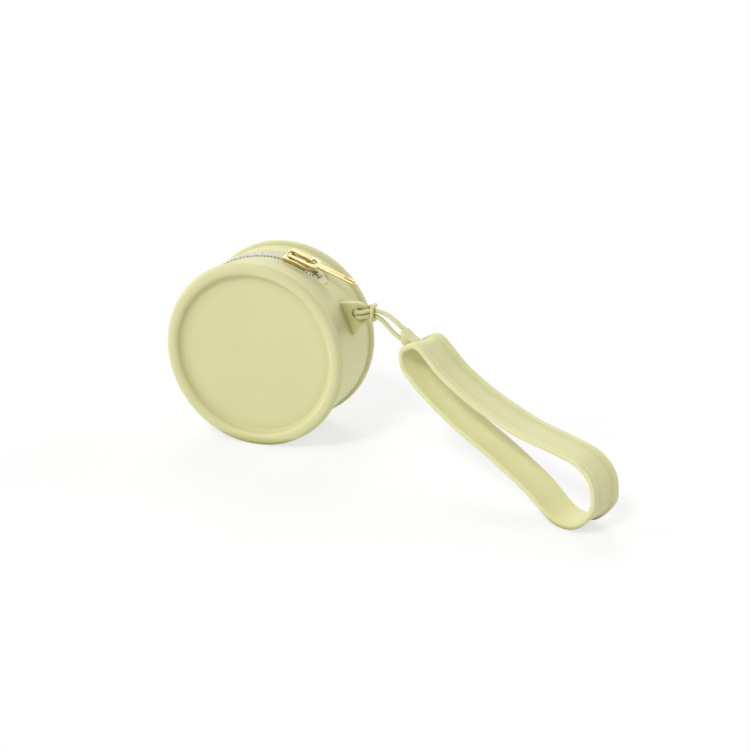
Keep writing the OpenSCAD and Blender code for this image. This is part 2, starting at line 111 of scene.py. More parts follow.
# %% Strap cord
CORD_D = 1.8
route = [(62.6, -9.5, 14), (60.9, -8.8, 14.8), (58.3, -7.7, 15.9), (55.7, -6.9, 17.5),
         (52.8, -6, 18.9), (49.8, -5, 19.6), (47.2, -4, 19.7), (44.8, -3.1, 19.2),
         (42.4, -2.7, 18.5), (40.3, -2.7, 17.9), (38.6, -2.4, 17.6), (37.8, -1.1, 17.6),
         (37.8, 1.1, 17.6), (38.6, 2.4, 17.7), (40.4, 2.8, 18.2), (42.4, 2.6, 19),
         (44, 1.5, 19.9), (44.9, -0.3, 20.7), (45.2, -2.3, 21.1), (45.3, -4.1, 21),
         (45.4, -5, 19.8), (45.4, -5.1, 18.6), (45.4, -5.1, 17.4), (45.3, -4.3, 16),
         (45.2, -2.4, 15.4), (44.9, -0.3, 15.2), (44, 1.5, 15), (42.4, 2.6, 15),
         (40.4, 2.8, 15.1), (38.6, 2.4, 15.4), (37.8, 1.1, 15.6), (37.8, -1.1, 15.6),
         (38.6, -2.4, 15.6), (40.3, -2.7, 15.9), (42.4, -2.7, 16.5), (44.8, -3.1, 17.3),
         (47.4, -4.4, 17.4), (50, -5.6, 16.5), (52.4, -6.8, 15.1), (55, -8, 13.4),
         (57.6, -9.2, 12.1), (60.1, -10.4, 11.4), (61.8, -11.2, 10.7)]


def curve_point(a, b, c, d, t):
    """Point of a smooth curve between b and c, with a before and d after."""
    return 0.5 * (2 * b + (c - a) * t + (2 * a - 5 * b + 4 * c - d) * t * t
                  + (3 * b - a - 3 * c + d) * t ** 3)


knots = [TO_FRAME @ Vector(point) for point in route]
last = len(knots) - 1
strand = [curve_point(knots[max(k - 1, 0)], knots[k], knots[k + 1],
                      knots[min(k + 2, last)], n / 4) for k in range(last) for n in range(4)]
strand.append(knots[-1])
only()
bpy.ops.curve.primitive_nurbs_path_add()
cord = bpy.context.object
cord.name = "cord_strand"
cord.data.splines.clear()
spline = cord.data.splines.new("POLY")
spline.points.add(len(strand) - 1)
for knot, point in zip(spline.points, strand):
    knot.co = (*point, 1)
    knot.radius = MM
cord.data.dimensions = "3D"
cord.data.bevel_depth = CORD_D / 2
cord.data.bevel_resolution = 5
cord.data.use_fill_caps = True
cord_length = sum((b - a).length for a, b in zip(strand, strand[1:]))
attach(cord, "strap")
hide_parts("strap_cord")
print("cord", round(cord_length, 4), "m")

# %% [markdown]
# ## Tools for outlines
#
# Most pieces start as an outline. A circle primitive has its vertices moved to the outline's
# points, and is then spun, or extruded. A helper rounds the corners of a polygon, because
# nothing moulded or cast has a perfectly sharp corner.


# %% Outline helpers
def rounded(corners, steps=4):
    """Points of a closed polygon of (x, y, radius), with an arc at each corner."""
    points = []
    count = len(corners)
    for k in range(count):
        before, here, after = (Vector(corners[(k + n) % count][:2]) for n in (-1, 0, 1))
        radius = corners[k][2]
        if radius <= 0:
            points.append(here)
            continue
        a, b = (before - here).normalized(), (after - here).normalized()
        half = a.angle(b) / 2
        reach = min(radius / math.tan(half), (before - here).length / 2,
                    (after - here).length / 2)
        radius = reach * math.tan(half)
        centre = here + (a + b).normalized() * (radius / math.sin(half))
        start, end = here + a * reach - centre, here + b * reach - centre
        turn = start.angle_signed(end)
        for n in range(steps + 1):
            spin = -turn * n / steps
            points.append(centre + Vector((
                start.x * math.cos(spin) - start.y * math.sin(spin),
                start.x * math.sin(spin) + start.y * math.cos(spin))))
    return points


def ring(name, points):
    """A closed chain of edges through these points."""
    only()
    bpy.ops.mesh.primitive_circle_add(vertices=len(points), fill_type="NOTHING")
    obj = bpy.context.object
    obj.name = name
    for vertex, point in zip(obj.data.vertices, points):
        vertex.co = point
    return obj


def edit(obj, kind="VERT"):
    """Opens a mesh with nothing selected."""
    only(obj)
    bpy.ops.object.mode_set(mode="EDIT")
    bpy.ops.mesh.select_mode(type=kind)
    bpy.ops.mesh.select_all(action="DESELECT")
    return bmesh.from_edit_mesh(obj.data)


def choose(obj, kind, test):
    """Selects the vertices, edges or faces of an open mesh whose middle passes a test."""
    bpy.ops.mesh.select_mode(type=kind)
    bpy.ops.mesh.select_all(action="DESELECT")
    mesh = bmesh.from_edit_mesh(obj.data)
    items = {"VERT": mesh.verts, "EDGE": mesh.edges, "FACE": mesh.faces}[kind]
    found = 0
    for item in items:
        if kind == "VERT":
            middle = item.co
        else:
            middle = sum((v.co for v in item.verts), Vector()) / len(item.verts)
        if test(middle, item):
            item.select_set(True)
            found += 1
    mesh.select_flush_mode()
    bmesh.update_edit_mesh(obj.data)
    return found


def close_edit():
    bpy.ops.object.mode_set(mode="OBJECT")


def apply_all(obj):
    """Applies every modifier of a mesh."""
    only(obj)
    for modifier in list(obj.modifiers):
        bpy.ops.object.modifier_apply(modifier=modifier.name)


def plate(name, outlines, half, edge, rounds=3):
    """A flat plate with holes, rounded along its edges: the first outline is its rim."""
    only()
    bpy.ops.curve.primitive_bezier_circle_add()
    obj = bpy.context.object
    obj.name = name
    obj.data.dimensions = "2D"
    obj.data.fill_mode = "BOTH"
    obj.data.splines.clear()
    for points in outlines:
        loop = obj.data.splines.new("POLY")
        loop.points.add(len(points) - 1)
        for knot, point in zip(loop.points, points):
            knot.co = (point[0], point[1], 0, 1)
        loop.use_cyclic_u = True
    obj.data.extrude = half - edge
    obj.data.bevel_depth = edge
    obj.data.bevel_resolution = rounds
    obj.data.offset = -edge
    bpy.ops.object.convert(target="MESH")
    obj = bpy.context.object
    edit(obj)
    bpy.ops.mesh.select_all(action="SELECT")
    bpy.ops.mesh.remove_doubles(threshold=0.002)
    bpy.ops.mesh.normals_make_consistent(inside=False)
    close_edit()
    return obj


def smooth(obj, angle=40):
    only(obj)
    bpy.ops.object.shade_smooth_by_angle(angle=math.radians(angle))


def join(name, *objects):
    only(*objects)
    bpy.ops.object.join()
    bpy.context.object.name = name
    return bpy.context.object


# %% [markdown]
# ## Drum
#
# The drum is one moulded shell: two flat faces, a rolled rim round each, and a wall between
# them. It is a body of revolution, so its section is drawn once and spun. The slot for the
# zip lies between two rows of the section. Those rows are drawn together at both ends of the
# slot, which makes its round ends without a cut, and keeps clean faces round the lip.

# %% Section of the drum
WALL_R, BORE_R = 36.5, 34.5
BEAD_R, BEAD_X, BEAD_IN_X = 2.3, 35.7, 34.78
FILLET_R, FILLET_X = 1.8, 31.1
CORNER_R, CORNER_X, CORNER_Y = 0.8, 37.3, 14.24
INSIDE_R, INSIDE_Y = 1.6, 14.9
SLOT_HALF, REBATE_R, REBATE_HALF = 5.8, 35.6, 8.65
TABLE_Z = -37.55


def arc(cx, cy, r, start, end, steps):
    """Points of an arc as radius from the axis and place along it."""
    return [(cx + r * math.cos(math.radians(start + (end - start) * k / steps)),
             cy + r * math.sin(math.radians(start + (end - start) * k / steps)))
            for k in range(steps + 1)]


outer = [(0, FACE_Y), (12, FACE_Y), (22, FACE_Y), (28, FACE_Y)]
outer += arc(FILLET_X, FACE_Y + FILLET_R, FILLET_R, -90, -26, 5)
outer += arc(BEAD_IN_X, FACE_Y, BEAD_R, 154, 90, 7)
outer += arc(BEAD_X, FACE_Y, BEAD_R, 90, -59, 14)
outer += arc(CORNER_X, CORNER_Y, CORNER_R, 121, 180, 5)
outer += [(WALL_R, 12), (WALL_R, 9), (WALL_R, 7), (WALL_R, SLOT_HALF)]
inner = [(0, INSIDE_Y), (18, INSIDE_Y)]
inner += arc(BORE_R - INSIDE_R, INSIDE_Y - INSIDE_R, INSIDE_R, 90, 0, 5)
inner += [(BORE_R, REBATE_HALF), (REBATE_R, REBATE_HALF), (REBATE_R, SLOT_HALF)]
print("section", len(outer), "and", len(inner), "points a side")

# %% Columns round the drum
SLOT_LEFT, SLOT_RIGHT, SLOT_ROUND = -88.0, 42.0, 9.15
LEFT_C, RIGHT_C = SLOT_LEFT + SLOT_ROUND, SLOT_RIGHT - SLOT_ROUND
REBATE_LEFT, REBATE_RIGHT = -93.0, 47.0


def steps(start, end, count):
    return [start + (end - start) * k / count for k in range(1, count + 1)]


swell = [math.sin(math.radians(15 * k)) for k in range(7)]
columns = [LEFT_C - SLOT_ROUND * s for s in reversed(swell)]
columns += steps(LEFT_C, RIGHT_C, 38)
columns += [RIGHT_C + SLOT_ROUND * s for s in swell[1:]]
columns += steps(SLOT_RIGHT, REBATE_RIGHT, 2)
columns += steps(REBATE_RIGHT, 360 + REBATE_LEFT, 74)
columns += steps(360 + REBATE_LEFT, 360 + SLOT_LEFT, 2)


def spin_outline(obj, angles):
    """Spins the whole outline from each angle to the next."""
    edit(obj)
    bpy.ops.mesh.select_all(action="SELECT")
    for a, b in zip(angles, angles[1:]):
        bpy.ops.mesh.spin(steps=1, angle=-math.radians(b - a), center=(0, 0, 0),
                          axis=(0, 1, 0))
    bpy.ops.mesh.select_all(action="SELECT")
    bpy.ops.mesh.remove_doubles(threshold=0.001)
    close_edit()


def angle_of(point):
    """Angle from the drum's top, between -180 and 180."""
    return math.degrees(math.atan2(point.x, point.z))


def radius_of(point):
    return math.hypot(point.x, point.z)


# %% Spin the two skins
def skin(name, half):
    chain = half + [(r, -y) for r, y in reversed(half)]
    obj = ring(name, [polar(r, columns[0], y) for r, y in chain])
    edit(obj, "EDGE")
    choose(obj, "EDGE", lambda middle, edge: radius_of(middle) < 0.001)
    bpy.ops.mesh.delete(type="EDGE")
    close_edit()
    spin_outline(obj, columns)
    return obj


outer_skin = skin("outer_skin", outer)
inner_skin = skin("inner_skin", inner)
probe = max(outer_skin.data.vertices, key=lambda v: v.co.x).co
print("outer skin", len(outer_skin.data.vertices), "vertices, right edge", tuple(probe))


# %% Slot
def pinch(obj):
    """Draws the slot's two rows together at its round ends, and ends the step inside."""
    for vertex in obj.data.vertices:
        a, r = angle_of(vertex.co), radius_of(vertex.co)
        if abs(vertex.co.y) < SLOT_HALF + 0.01 and r > BORE_R + 0.5:
            beyond = max(a - RIGHT_C, LEFT_C - a, 0) / SLOT_ROUND
            if beyond < 1.001:
                vertex.co.y *= math.sqrt(max(0, 1 - beyond * beyond))
        if abs(r - REBATE_R) < 0.01 and not REBATE_LEFT + 0.1 < a < REBATE_RIGHT - 0.1:
            vertex.co = polar(BORE_R, a, vertex.co.y)


for obj in (outer_skin, inner_skin):
    pinch(obj)
drum = join("drum", outer_skin, inner_skin)
edit(drum)
bpy.ops.mesh.select_all(action="SELECT")
bpy.ops.mesh.remove_doubles(threshold=0.001)
print("slot faces", choose(drum, "FACE", lambda middle, face: abs(middle.y) < 0.001
      and radius_of(middle) > BORE_R + 0.5
      and SLOT_LEFT < angle_of(middle) < SLOT_RIGHT))
bpy.ops.mesh.delete(type="FACE")
print("lip edges", choose(drum, "EDGE", lambda middle, edge: edge.is_boundary))
bpy.ops.mesh.bridge_edge_loops()
bpy.ops.mesh.select_all(action="SELECT")
bpy.ops.mesh.normals_make_consistent(inside=False)


def on_lip(middle, edge):
    """An edge of the wall's outer skin that borders the slot."""
    if abs(middle.y) > SLOT_HALF + 0.01 or len(edge.link_faces) != 2:
        return False
    if not SLOT_LEFT - 0.1 < angle_of(middle) < SLOT_RIGHT + 0.1:
        return False
    return edge.calc_face_angle(0) > 1.2 and radius_of(middle) > REBATE_R - 0.2


print("lip bevel", choose(drum, "EDGE", on_lip))
bpy.ops.mesh.bevel(offset=0.35, segments=3, profile=0.5, affect="EDGES")
close_edit()
for vertex in drum.data.vertices:
    if vertex.co.z < TABLE_Z:
        vertex.co.z = TABLE_Z
print("drum", len(drum.data.polygons), "faces")

# %% [markdown]
# ## Lug
#
# The lug is a fin of silicone, moulded in one with the wall, with a hole for the cord. A flat
# plate with a hole is cut from its outline, pushed into the wall, and made one with it by a
# union. The hole is where the cord's hitch holds on.

# %% Lug
LUG_A, LUG_R, LUG_TIP, LUG_HALF, LUG_HOLE = 66.3, 41.2, 4.6, 1.25, 2.2
LUG_FOOT_A, LUG_TOE_A, LUG_ROOT_R = 55.5, 80, 35.5


def flat(point):
    return Vector((point.x, point.z))


def touch(start, centre, r, side):
    """Point where a line from start touches a circle."""
    way = centre - start
    turn = math.asin(r / way.length) * side
    reach = math.sqrt(way.length ** 2 - r * r) / way.length
    return start + reach * Vector((way.x * math.cos(turn) - way.y * math.sin(turn),
                                   way.x * math.sin(turn) + way.y * math.cos(turn)))


hole = flat(polar(LUG_R, LUG_A))
foot, toe = flat(polar(LUG_ROOT_R, LUG_FOOT_A)), flat(polar(LUG_ROOT_R, LUG_TOE_A))
upper, lower = touch(foot, hole, LUG_TIP, 1), touch(toe, hole, LUG_TIP, -1)
start = math.atan2(upper.y - hole.y, upper.x - hole.x)
sweep = (math.atan2(lower.y - hole.y, lower.x - hole.x) - start)
tip = [hole + LUG_TIP * Vector((math.cos(start + sweep * k / 16),
                                math.sin(start + sweep * k / 16))) for k in range(17)]
eye = [hole + LUG_HOLE * Vector((math.cos(math.radians(15 * k)),
                                 math.sin(math.radians(15 * k)))) for k in range(24)]
lug = plate("lug", [[foot] + tip + [toe], eye], LUG_HALF, 0.4)
place(lug, Matrix.Rotation(math.pi / 2, 4, "X"))
print("lug", [round(v, 2) for v in lug.dimensions], "tip at", tuple(tip[8]))

# %% Make the lug one with the wall
union = drum.modifiers.new("Lug", "BOOLEAN")
union.operation = "UNION"
union.solver = "EXACT"
union.object = lug
apply_all(drum)
bpy.data.objects.remove(lug)
smooth(drum, 35)
place(drum, TO_FRAME)
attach(drum, "pouch")
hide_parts("pouch_body")
print("drum with lug", len(drum.data.polygons), "faces")

# %% [markdown]
# ## Line of the zip
#
# Tapes, teeth and thread all follow one line. The two sides run close together over the drum
# and part at the slider's post, so one function tells how far each side is pushed out.

# %% Line of the zip
TOOTH_MID, TOOTH_L, TOOTH_MESH, TOOTH_H = 36.375, 3.2, 0.5, 1.55
CHAIN_LEFT, PITCH, TEETH = -79.7, 2.363, 47
SLIDER_A, SLIDER_L, ROW_SHIFT = 21, 13.5, 1.4
PART_FROM_SHARE, PART_OVER_SHARE = -0.07, 0.29
CHAIN_RIGHT = CHAIN_LEFT + PITCH * (TEETH + 0.3)


def unit(value):
    """The value kept between 0 and 1."""
    return min(1, max(0, value))


def shift_at(a):
    """How far the post pushes a side out at an angle round the drum."""
    along_share = math.radians(a - SLIDER_A) * TOOTH_MID / SLIDER_L
    return ROW_SHIFT * unit((along_share - PART_FROM_SHARE) / PART_OVER_SHARE)


print("chain from", CHAIN_LEFT, "to", round(CHAIN_RIGHT, 1), "degrees")

# %% [markdown]
# ## Zip tapes
#
# Each row of teeth is sewn to a woven tape, which is bonded under the slot's lip. A tape is a
# narrow curved ribbon, so its section is spun like the drum's. Between the teeth and the lip
# it swells into a soft pad almost level with the wall, and past the stops both tapes close to
# the middle.

# %% Zip tapes
TAPE_IN_R, TAPE_OUT_R, TAPE_EDGE, TAPE_OUT = 35.0, 35.55, 0.85, 8.3
TAPE_LEFT, TAPE_RIGHT, TAPE_TAIL, TAPE_JOIN = -91.9, 45.9, -84.05, 35.9
EDGE_ROUND, MEET, CLEAR = 0.25, 0.06, 0.01
PAD, PAD_IN, PAD_OUT, PAD_BELOW, PAD_SIDE = 0.85, 2.35, 5.7, 0.24, 0.4
PAD_EDGE_SHARE, PAD_LAST_SHARE, CLOSE_LEAD, CLOSE_OVER = 0.85, 0.97, 0.4, 1.4
top_rows = (1.8, 2.1, 2.2, PAD_IN, 2.55, 3, 3.7, 4.4, 5, 5.4, PAD_OUT, 5.75)
tape_columns = [TAPE_LEFT] + steps(TAPE_LEFT, TAPE_TAIL, 12)
tape_columns += steps(TAPE_TAIL, TAPE_JOIN, 80) + steps(TAPE_JOIN, TAPE_RIGHT, 16)


def pad(y, a):
    """How far up and how far out a point on the tape's top lies, for its y in the section."""
    beyond = max(a - RIGHT_C, LEFT_C - a, 0) / SLOT_ROUND
    if beyond > PAD_LAST_SHARE:
        return 0, y
    closed = unit(max(TAPE_TAIL - a, a - TAPE_JOIN) + CLOSE_LEAD)
    if y < PAD_OUT - CLEAR:
        up = max(unit((y - PAD_IN + PAD_BELOW) / PAD_SIDE), closed)
    else:
        up = PAD_EDGE_SHARE if y < PAD_OUT + CLEAR else 0
    near = unit((PAD_OUT - y) / (PAD_OUT - PAD_IN)) if y > PAD_IN - PAD_BELOW + CLEAR else 0
    out = y + shift_at(a) * near * (1 - unit(a - CHAIN_RIGHT))
    return PAD * up, out * math.sqrt(1 - beyond * beyond)


def zip_tape(name, side):
    top = [(TAPE_OUT_R, side * y, 0) for y in top_rows]
    section = rounded([(TAPE_IN_R, side * TAPE_EDGE, 0.12), (TAPE_OUT_R, side * TAPE_EDGE, 0.2)]
                      + top + [(TAPE_OUT_R, side * TAPE_OUT, 0.12),
                               (TAPE_IN_R, side * TAPE_OUT, 0.12)])
    obj = ring(name, [polar(p[0], TAPE_LEFT, p[1]) for p in section])
    spin_outline(obj, tape_columns)
    for vertex in obj.data.vertices:
        a, r, y = angle_of(vertex.co), radius_of(vertex.co), abs(vertex.co.y)
        on_top = r > TAPE_OUT_R - EDGE_ROUND
        if y < TAPE_EDGE + EDGE_ROUND:
            closed = unit(max(TAPE_TAIL - a, a - TAPE_JOIN) / CLOSE_OVER)
            up = pad(y, a)[0] if on_top else 0
            vertex.co = polar(r + up, a, side * (y - (TAPE_EDGE - MEET) * closed))
        elif on_top and y < top_rows[-1] + CLEAR:
            up, out = pad(y, a)
            vertex.co = polar(r + up, a, side * out)
    edit(obj)
    bpy.ops.mesh.select_all(action="SELECT")
    bpy.ops.mesh.fill_holes(sides=0)
    bpy.ops.mesh.normals_make_consistent(inside=False)
    close_edit()
    smooth(obj, 50)
    place(obj, TO_FRAME)
    return obj


tapes = {}
for name, side in (("front", -1), ("back", 1)):
    tapes[name] = zip_tape(name + "_tape", side)
    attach(tapes[name], "pouch")
    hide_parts(name + "_zip_tape")
print("tape", len(tapes["front"].data.polygons), "faces each")

# %% [markdown]
# ## Teeth
#
# The teeth of this zip are two coils, each one nylon filament wound flat. Its loops lie across
# the tape, and their heads pass between the other coil's heads. Separate bars would look
# stiff, so each coil is one long curve with a round bevel: a loop goes over the tape straight,
# and slants back underneath to the next loop. At the slider's post the two coils part.

# %% Path of a coil
FILAMENT, CORE_UP, CORE_R, CORE_FLAT, CORE_END_A = 0.66, 0.28, 0.22, 5, 11


def loop_shape(count):
    """One loop as (across, up, share of the pitch, thickness), from its back over the top."""
    half = (TOOTH_H - FILAMENT) / 2
    near, far = FILAMENT / 2 - TOOTH_MESH + half, TOOTH_L - TOOTH_MESH - FILAMENT / 2 - half
    top = [(far, half, 0, 1), ((near + far) / 2, half, 0, 1), (near + 0.25, half, 0, 1.05)]
    head = [(near - half * math.sin(math.radians(a)), half * math.cos(math.radians(a)),
             0, 1.18) for a in range(0, 181, 180 // count)]
    under = [(near + 0.3, -half, 0.1, 1.05), ((near + far) / 2, -half, 0.5, 1),
             (far - 0.2, -half, 0.85, 1)]
    back = [(far + half * math.sin(math.radians(a)), -half * math.cos(math.radians(a)),
             0.9 + 0.1 * a / 180, 1) for a in range(0, 180, 180 // count)]
    return top + head + under + back


def soft_curve(name, points, depth, sides, radii=None):
    """A tube of one poly curve, made a mesh."""
    only()
    bpy.ops.curve.primitive_nurbs_path_add()
    obj = bpy.context.object
    obj.name = name
    obj.data.splines.clear()
    strand = obj.data.splines.new("POLY")
    strand.points.add(len(points) - 1)
    for k, (knot, point) in enumerate(zip(strand.points, points)):
        knot.co = (*point, 1)
        knot.radius = radii[k] if radii else 1
    obj.data.dimensions = "3D"
    obj.data.bevel_depth = depth
    obj.data.bevel_resolution = sides
    obj.data.use_fill_caps = True
    bpy.ops.object.convert(target="MESH")
    obj = bpy.context.object
    only(obj)
    bpy.ops.object.shade_smooth()
    return obj


# %% Coils and the cords inside them
def coil(name, side, first):
    shape = loop_shape(4)
    points, radii = [], []
    for k in range(TEETH):
        for across, up, share, thick in shape:
            a = first + (k + share) * PITCH
            points.append(polar(TOOTH_MID + up, a, side * (across + shift_at(a))))
            radii.append(thick)
    obj = soft_curve(name, points, FILAMENT / 2, 2, radii)
    place(obj, TO_FRAME)
    return obj


def core(name, side):
    ends = (CHAIN_LEFT - PITCH / 4, SLIDER_A + CORE_END_A)
    points = [polar(TOOTH_MID + CORE_UP, a, side * (TOOTH_L / 2 - TOOTH_MESH + shift_at(a)))
              for a in [ends[0]] + steps(*ends, 90)]
    obj = soft_curve(name, points, CORE_R, 3)
    for vertex in obj.data.vertices:
        middle = side * (TOOTH_L / 2 - TOOTH_MESH + shift_at(angle_of(vertex.co)))
        vertex.co.y = middle + (vertex.co.y - middle) * CORE_FLAT
    place(obj, TO_FRAME)
    return obj


coils, cores = {}, {}
for name, side, first in (("front", -1, CHAIN_LEFT + PITCH / 2), ("back", 1, CHAIN_LEFT)):
    coils[name] = coil(name + "_teeth", side, first)
    cores[name] = core(name + "_core", side)
    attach(coils[name], "pouch")
    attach(cores[name], "pouch")
    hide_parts(name + "_coil")
    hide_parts(name + "_core_cord")
print("coil", len(coils["front"].data.polygons), "faces each")

# %% [markdown]
# ## Stitching
#
# Two rows of thread hold each coil to its tape. On the real zip the thread shows as small
# dashes that climb over each loop and dip between loops, so it is a wavy curve.


# %% Stitching
THREAD_R, STITCH_ROWS = 0.16, (1.15, 2.0)
stitch_wave = ((-0.5, -0.3), (-0.25, -0.08), (0, 0.02), (0.25, -0.08))


def stitch_row(name, side, across, first):
    points = []
    for k in range(TEETH):
        for share, lift in stitch_wave:
            a = first + (k + share) * PITCH
            points.append(polar(TOOTH_MID + TOOTH_H / 2 + lift, a,
                                side * (across + shift_at(a))))
    return soft_curve(name, points, THREAD_R, 1)


threads = {}
for name, side, first in (("front", -1, CHAIN_LEFT + PITCH / 2), ("back", 1, CHAIN_LEFT)):
    rows = [stitch_row(name + "_row", side, across, first) for across in STITCH_ROWS]
    threads[name] = join(name + "_stitching", *rows)
    place(threads[name], TO_FRAME)
    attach(threads[name], "pouch")
print("stitching", len(threads["front"].data.polygons), "faces each")

# %% [markdown]
# ## Stops
#
# Small clips keep the slider on the chain: a moulded one on each tape at the closed end, and a
# metal one across both tapes at the far end. Each has the same section all along, so that is
# drawn once and extruded, with soft edges.

# %% Stops
TOP_STOP, BOTTOM_STOP, STOP_HALF = 34, -82.16, 0.9
STOP_IN, STOP_OUT, CLIP_IN, CLIP_OUT = 34.4, 36.38, 34.95, 35.6
ACROSS = Matrix(((0, 0, 1, 0), (1, 0, 0, 0), (0, 1, 0, 0), (0, 0, 0, 1)))


def stop(name, corners, a):
    obj = plate(name, [rounded(corners)], STOP_HALF, 0.22)
    place(obj, ACROSS, Matrix.Rotation(math.radians(a), 4, "Y"))
    return obj


def top_stop(name, s):
    return stop(name, [(s * 0.65, STOP_IN, 0.25), (s * 3.1, STOP_IN, 0.2),
                       (s * 3.1, CLIP_IN, 0.1), (s * 1.2, CLIP_IN, 0), (s * 1.2, CLIP_OUT, 0),
                       (s * 3.1, CLIP_OUT, 0.15), (s * 3.1, STOP_OUT, 0.35),
                       (s * 0.65, STOP_OUT, 0.35)], TOP_STOP)


top_stops = join("closed_end_stops", top_stop("front_stop", -1), top_stop("back_stop", 1))
bottom_stop = stop("far_end_stop", [
    (-2.7, STOP_IN, 0.2), (2.7, STOP_IN, 0.2), (2.7, CLIP_IN, 0.1), (1.2, CLIP_IN, 0),
    (1.2, CLIP_OUT, 0), (2.7, CLIP_OUT, 0.1), (2.7, STOP_OUT, 0.4), (-2.7, STOP_OUT, 0.4),
    (-2.7, CLIP_OUT, 0.1), (-1.2, CLIP_OUT, 0), (-1.2, CLIP_IN, 0), (-2.7, CLIP_IN, 0.1)],
    BOTTOM_STOP)
for obj, node, finish in ((top_stops, "top_stops", "nylon"),
                          (bottom_stop, "bottom_stop", "gold")):
    smooth(obj)
    place(obj, TO_FRAME)
    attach(obj, "pouch")
    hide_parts(node)
print("stops", len(top_stops.data.polygons) + len(bottom_stop.data.polygons), "faces")

# %% [markdown]
# ## Slider
#
# The slider is a small casting: two wings, the post that parts the coils between them, cheeks
# along both sides above the tapes' pads, and a bridge on top that holds the pull. Each part is
# a plate with soft edges. The wings follow the drum's curve, so they are cut into strips and
# then bent.

# %% Slider plates
WING_T, WING_R, KEEL_R = 0.9, 37.9, 34.25
TAIL_HALF, SHOULDER_HALF, NOSE_R = 4.1, 4.6, 4.05
CHEEK_LOW, CHEEK_HIGH = 36.47, 37.6


def wing(name, r):
    outline = rounded([(-SLIDER_L / 2, -TAIL_HALF, 1), (SLIDER_L / 2, -SHOULDER_HALF, NOSE_R),
                       (SLIDER_L / 2, SHOULDER_HALF, NOSE_R), (-SLIDER_L / 2, TAIL_HALF, 1)], 8)
    obj = plate(name, [outline], WING_T / 2, 0.3)
    edit(obj)
    for k in range(-6, 7):
        bpy.ops.mesh.select_all(action="SELECT")
        bpy.ops.mesh.bisect(plane_co=(k, 0, 0), plane_no=(1, 0, 0))
    close_edit()
    for vertex in obj.data.vertices:
        level = r + vertex.co.z
        vertex.co.z = math.sqrt(level * level - vertex.co.x ** 2)
    return obj


def upright(name, outline, low, high, edge):
    """A block of an outline along and across the chain, between two heights."""
    obj = plate(name, [outline], (high - low) / 2, edge)
    place(obj, Matrix.Translation((0, 0, (low + high) / 2)))
    return obj


def cheek(name, s):
    return upright(name, rounded([(-6.6, s * 3, 0.3), (-0.95, s * 3, 0.5), (1.4, s * 3.75, 0.5),
                                  (3.3, s * 4.1, 0.1), (3.4, s * 4.3, 0.1), (0.4, s * 4.2, 0.5),
                                  (-6.6, s * 4.05, 0.5)]), CHEEK_LOW, CHEEK_HIGH, 0.08)


# %% Bridge and post
BAR_X, BAR_Z, BRIDGE_END, LOOP_R, BORE_BAR = -4.185, 39.43, 4.215, 1.66, 0.66


def bridge(name):
    outline = rounded([(BAR_X - LOOP_R, 37.6, 0), (BRIDGE_END, 37.4, 0),
                       (BRIDGE_END, BAR_Z + LOOP_R, 1.3),
                       (BAR_X - LOOP_R, BAR_Z + LOOP_R, LOOP_R)], 8)
    eye = rounded([(BAR_X - BORE_BAR, BAR_Z - BORE_BAR, BORE_BAR),
                   (BRIDGE_END - 2, BAR_Z - BORE_BAR, BORE_BAR),
                   (BRIDGE_END - 2, BAR_Z + BORE_BAR, BORE_BAR),
                   (BAR_X - BORE_BAR, BAR_Z + BORE_BAR, BORE_BAR)], 6)
    obj = plate(name, [outline, eye], 1.2, 0.3)
    place(obj, Matrix.Rotation(math.pi / 2, 4, "X"))
    return obj


post = upright("post", rounded([(1.6, 0, 0.1), (5.3, -0.72, 0.6), (6.05, -0.3, 0.4),
                                (6.05, 0.3, 0.4), (5.3, 0.72, 0.6)]), 34.5, 37.6, 0.1)
slider = join("slider_casting", wing("wing_top", WING_R), wing("wing_under", KEEL_R),
              cheek("cheek_front", -1), cheek("cheek_back", 1), bridge("bridge"), post)
smooth(slider)
place(slider, Matrix.Rotation(math.radians(SLIDER_A), 4, "Y"), TO_FRAME)
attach(slider, "slider")
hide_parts("zip_slider")
print("slider", len(slider.data.polygons), "faces")

# %% [markdown]
# ## Pull
#
# The pull is one flat casting: a long ring that hangs on the bridge, and a tab with a slot.
# Its edges are fully round, which also makes the bar in the bridge's eye a round one.

# %% Pull
PULL_L, BAR_R, RING_HALF, RING_L, RAIL = 29.5, 0.6, 4.4, 12.4, 1.3
TAB_HALF, PULL_A, PULL_LEAN, BAR_ORBIT = 1.9, 14.94, 5.55, 39.65
ring_end, tab_end = RING_L - BAR_R, PULL_L - BAR_R
inside = RING_HALF - RAIL
rim = rounded([(-BAR_R, -RING_HALF, 0.9), (ring_end, -RING_HALF, 4.2),
               (ring_end, -TAB_HALF, 0.0), (tab_end, -TAB_HALF, TAB_HALF),
               (tab_end, TAB_HALF, TAB_HALF), (ring_end, TAB_HALF, 0.0),
               (ring_end, RING_HALF, 4.2), (-BAR_R, RING_HALF, 0.9)], 8)
window = rounded([(BAR_R, -inside, 0.4), (ring_end - RAIL, -inside, inside),
                  (ring_end - RAIL, inside, inside), (BAR_R, inside, 0.4)], 8)
slot = rounded([(tab_end - 6.1, -0.8, 0.8), (tab_end - 1.1, -0.8, 0.8),
                (tab_end - 1.1, 0.8, 0.8), (tab_end - 6.1, 0.8, 0.8)], 6)
pull = plate("pull_casting", [rim, window, slot], BAR_R, BAR_R, 4)
smooth(pull, 50)
place(pull, Matrix.Rotation(math.radians(PULL_LEAN), 4, "Y"),
      Matrix.Translation((0, 0, BAR_ORBIT)), Matrix.Rotation(math.radians(PULL_A), 4, "Y"),
      TO_FRAME)
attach(pull, "pull")
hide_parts("pull_tab")
print("pull", len(pull.data.polygons), "faces")

# %% [markdown]
# ## Wrist band
#
# The band is a closed loop of moulded silicone with a raised bead along both edges. A section
# is swept round the loop's path, and the block that holds the cord is added at the narrow end.
# A voxel remesh and a light smoothing then melt them into one skin, as a mould does.

